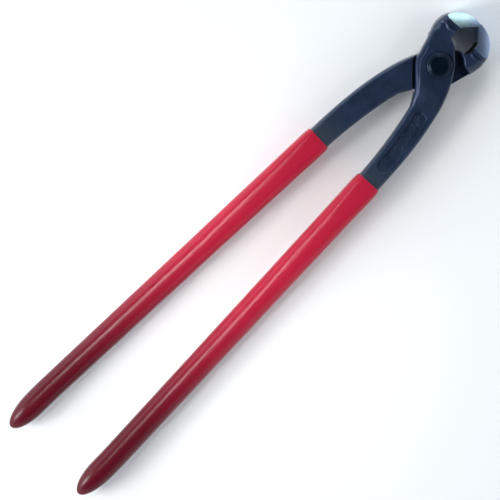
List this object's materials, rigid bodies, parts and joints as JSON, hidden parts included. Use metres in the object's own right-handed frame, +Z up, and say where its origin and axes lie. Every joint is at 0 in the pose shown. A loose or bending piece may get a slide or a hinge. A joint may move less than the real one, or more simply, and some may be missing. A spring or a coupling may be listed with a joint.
{
  "type": "fencing pliers",
  "caption": "End-cutting fencing pliers: two forged levers crossing at a riveted lap joint, short hooked jaws, long handles in dipped grips.",
  "frame": {"origin": "on the pivot axis, in the plane of the rear rivet head, which is also the plane that the closed jaws' lower sides lie in", "axes": "+Y from the pivot towards the jaws along the tool's length, +X to the right, +Z up through the pivot, out of the front rivet head"},
  "size_m": [0.0586, 0.2999, 0.022],
  "materials": {
    "forged_steel": "blue-black oxide finish on forged tool steel, satin, with bright ground faces at the nose",
    "rivet_steel": "blackened steel rivet head, satin, rubbed bright at its edge",
    "dipped_grip": "glossy dipped vinyl, smooth and slightly soft"
  },
  "bodies": {
    "back": {"back_lever": "forged_steel", "back_grip": "dipped_grip", "pivot_rivet": "rivet_steel"},
    "front": {"front_lever": "forged_steel", "front_grip": "dipped_grip"}
  },
  "joints": [
    {"name": "pivot", "type": "hinge", "parent": "back", "child": "front", "pos_m": [0, 0, 0.011], "axis": [0, 0, 1], "range_deg": [0, 34]}
  ]
}
